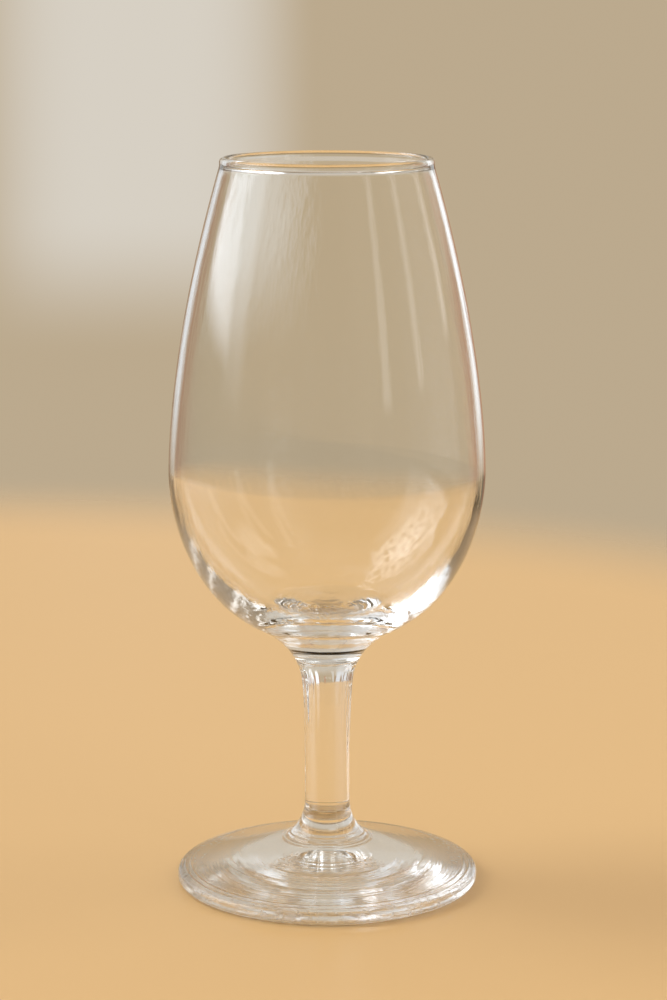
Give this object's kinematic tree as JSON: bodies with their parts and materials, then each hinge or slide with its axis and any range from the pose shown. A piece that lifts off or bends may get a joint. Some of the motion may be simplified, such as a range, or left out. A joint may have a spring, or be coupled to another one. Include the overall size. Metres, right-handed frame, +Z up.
{
  "type": "wine tasting glass",
  "caption": "Clear stemmed wine tasting glass: tall tulip bowl with a narrow bead rim and thick heel, solid stem with a flared head, and round domed foot.",
  "frame": {"origin": "middle of the plane that the foot stands on", "axes": "+Z up along the axis that every piece is turned about, from the foot to the rim; X and Y are alike"},
  "size_m": [0.0668, 0.0668, 0.155],
  "materials": {
    "blown_glass": "colourless, fire polished, faint upright waves from blowing",
    "pressed_glass": "colourless, polished, fine rings on the foot and light scuffs under its standing ring"
  },
  "bodies": {
    "root": {"foot": "pressed_glass", "stem": "pressed_glass", "bowl": "blown_glass"}
  },
  "joints": []
}
